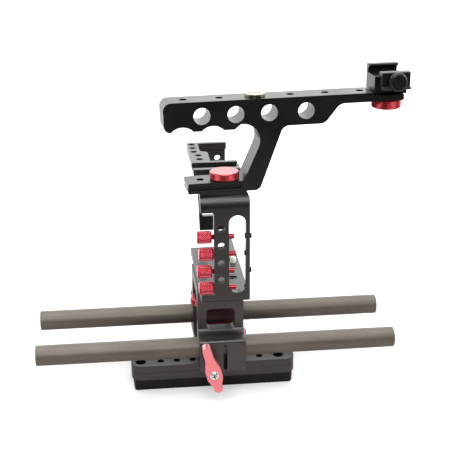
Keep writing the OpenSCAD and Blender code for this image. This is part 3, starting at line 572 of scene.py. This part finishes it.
# Puts a piece that was modelled round the origin in the place of its CAD node.
def settle(piece, node, place, turn=Matrix.Identity(4)):
    piece.data.transform(Matrix.Translation(place) @ turn)
    piece.matrix_world = Matrix.Identity(4)
    bpy.ops.object.select_all(action="DESELECT")
    piece.select_set(True)
    bpy.context.view_layer.objects.active = piece
    bpy.ops.object.shade_smooth_by_angle(angle=math.radians(25))
    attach(piece, body_of[node])
    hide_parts(node)
    return piece


# The levers' red, deeper, and paler where the crest attribute runs from start
# to end. On the knobs the tips, and a little the rims, are paler, as rubbed wear
# and a painted highlight; on the screws the valleys are paler, a painted
# highlight along the lattice.
def knurl_red(name, tone, pale_tone, start, end):
    material = red_anodised(name, tone, rough=0.3, metallic=0.9)
    tree = material.node_tree
    skin = tree.nodes["Principled BSDF"].inputs["Base Color"]
    crest = add(tree, "ShaderNodeAttribute", attribute_name="crest")
    pale = add(tree, "ShaderNodeMapRange", {
        "Value": crest.outputs["Fac"], "From Min": start, "From Max": end,
    })
    colour = add(tree, "ShaderNodeMix", {
        FACTOR: pale.outputs["Result"], COLOUR_A: skin.links[0].from_socket, COLOUR_B: linear(pale_tone),
    }, data_type="RGBA")
    tree.links.new(colour.outputs[MIXED], skin)
    return material


knob_red = knurl_red("anodised_knob_red", "#a80a20", "#d84c5a", start=0.66, end=0.95)
size = size_of("riser_wheel")
wheel = knurled_disc("riser_wheel_knurled", size.x / 2, size.z, around=64, rows=4, rim=0.6 * MM)
dress(settle(wheel, "riser_wheel", middle_of("riser_wheel")), knob_red)

knob_rim = 0.45 * MM
knob_radius = size_of("camera_knob").x / 2
knob_height = size_of("camera_knob").z
knob = knurled_disc("knurled_knob", knob_radius, knob_height, around=40, rows=3, rim=knob_rim)
for node in ("camera_knob", "handle_knob"):
    dress(settle(twin(knob, node + "_knurled"), node, middle_of(node)), knob_red)
bpy.data.objects.remove(knob)

tall_height = size_of("clamp_knob").z
tall = knurled_disc("clamp_knob_knurled", knob_radius, tall_height, around=40, rows=4, rim=knob_rim)
dress(settle(tall, "clamp_knob", middle_of("clamp_knob")), knob_red)


# --- Cable clamp screws ---------------------------------------------------
# Four thumb screws through the post, each turned from one red bar: a diamond
# knurled head, a threaded shank and a plain tip that presses on the cable.
screw_size = size_of("cable_screw_1")
head_radius = screw_size.z / 2
head_length = 10.4 * MM
shank_radius = 1.95 * MM
shank_length = 12 * MM
shank_sunk = 0.8 * MM  # how far it starts inside the head
shank_crest = 0.5  # between tip and valley, so that no tone of a knurl shows
thread_steps = 34  # crests and grooves in turn, at a pitch of 0.7 mm
groove = 0.84  # its radius, as a share of the shank's
tip_radius = 1.9 * MM
tip_length = screw_size.x - head_length - shank_length + shank_sunk


def thumb_screw(name):
    head = knurled_disc(name, head_radius, head_length, around=18, rows=6, rim=0.4 * MM)
    start = head_length / 2 - shank_sunk
    end = start + shank_length
    bpy.ops.object.select_all(action="DESELECT")
    bpy.ops.mesh.primitive_cylinder_add(
        vertices=32, radius=shank_radius, depth=shank_length, location=(0, 0, (start + end) / 2))
    shank = bpy.context.object
    bpy.ops.object.mode_set(mode="EDIT")
    bpy.ops.mesh.select_mode(type="EDGE")
    choose_upright(shank.data)
    bpy.ops.mesh.subdivide(number_cuts=thread_steps - 1)
    bpy.ops.object.mode_set(mode="OBJECT")
    bpy.ops.object.transform_apply(location=True)
    for corner in shank.data.vertices:
        step = round((corner.co.z - start) / shank_length * thread_steps)
        if step % 2 and step < thread_steps - 1:
            corner.co.x *= groove
            corner.co.y *= groove
    bpy.ops.object.select_all(action="DESELECT")
    bpy.ops.mesh.primitive_cylinder_add(
        vertices=32, radius=tip_radius, depth=tip_length, location=(0, 0, end + tip_length / 2))
    tip = bpy.context.object
    bpy.ops.object.transform_apply(location=True)
    for part in (shank, tip):
        crest = part.data.attributes.new("crest", "FLOAT", "POINT")
        crest.data.foreach_set("value", [shank_crest] * len(part.data.vertices))
    for part in (shank, tip, head):
        part.select_set(True)
    bpy.context.view_layer.objects.active = head
    bpy.ops.object.join()
    return head


# The shank and the tip, past the end of the head, are painted the knobs' darker
# red, as painted shade beyond the post.
screw_red = knurl_red("anodised_screw_red", "#cc1c3a", "#ff98a6", start=0.24, end=0.06)
screw = thumb_screw("thumb_screw")
along_x = Matrix.Rotation(math.pi / 2, 4, "Y")
past = 0.1 * MM
for number in range(1, 5):
    node = f"cable_screw_{number}"
    middle = middle_of(node)
    head_end_x = middle.x - screw_size.x / 2 + head_length
    place = Vector((head_end_x - head_length / 2, middle.y, middle.z))
    piece = dress(settle(twin(screw, node + "_knurled"), node, place, along_x), screw_red)
    piece.data.materials.append(knob_red)
    for face in piece.data.polygons:
        if face.center.x > head_end_x + past:
            face.material_index = 1
bpy.data.objects.remove(screw)


# --- Locating pin ---------------------------------------------------------
# A moulded nylon pin pressed into the cage's floor, where it keeps the camera
# square. It is cream, with the soft even gloss of nylon.
cream = filmed("cream_nylon", linear("#fbf6e4"), linear("#fffdf4"), rough=(0.4, 0.4),
               drift=2.5 * MM, detail=2)
dress(softened("anti_twist_pin", 0.2), cream)


# --- Top handle -----------------------------------------------------------
# One milled bar with finger grooves, a leaning strut and a foot, blasted and
# anodised black, darker than the cage.
handle_black = black_anodised("anodised_handle_black", "#0a0909", ior=1.53, grain=1.0 * MM)
dress(softened("top_handle", 0.6), handle_black)

# Nickel plated plug in the bar's wide thread, warm and bright.
nickel = filmed("nickel_plate", linear("#968d7b"), linear("#b3aa97"), rough=(0.16, 0.28),
                drift=2.0 * MM, metallic=1.0)
dress(softened("handle_plug", 0.3), nickel)


# --- Accessory clamp ------------------------------------------------------
# Milled aluminium clamp with a fixed and a sliding jaw, anodised black with the
# handle. The jaw's knob has its fluted rim from the CAD model.
dress(softened("clamp_base", 0.3), handle_black)
dress(softened("clamp_jaw", 0.3), handle_black)
dress(softened("jaw_knob", 0.15), handle_black)
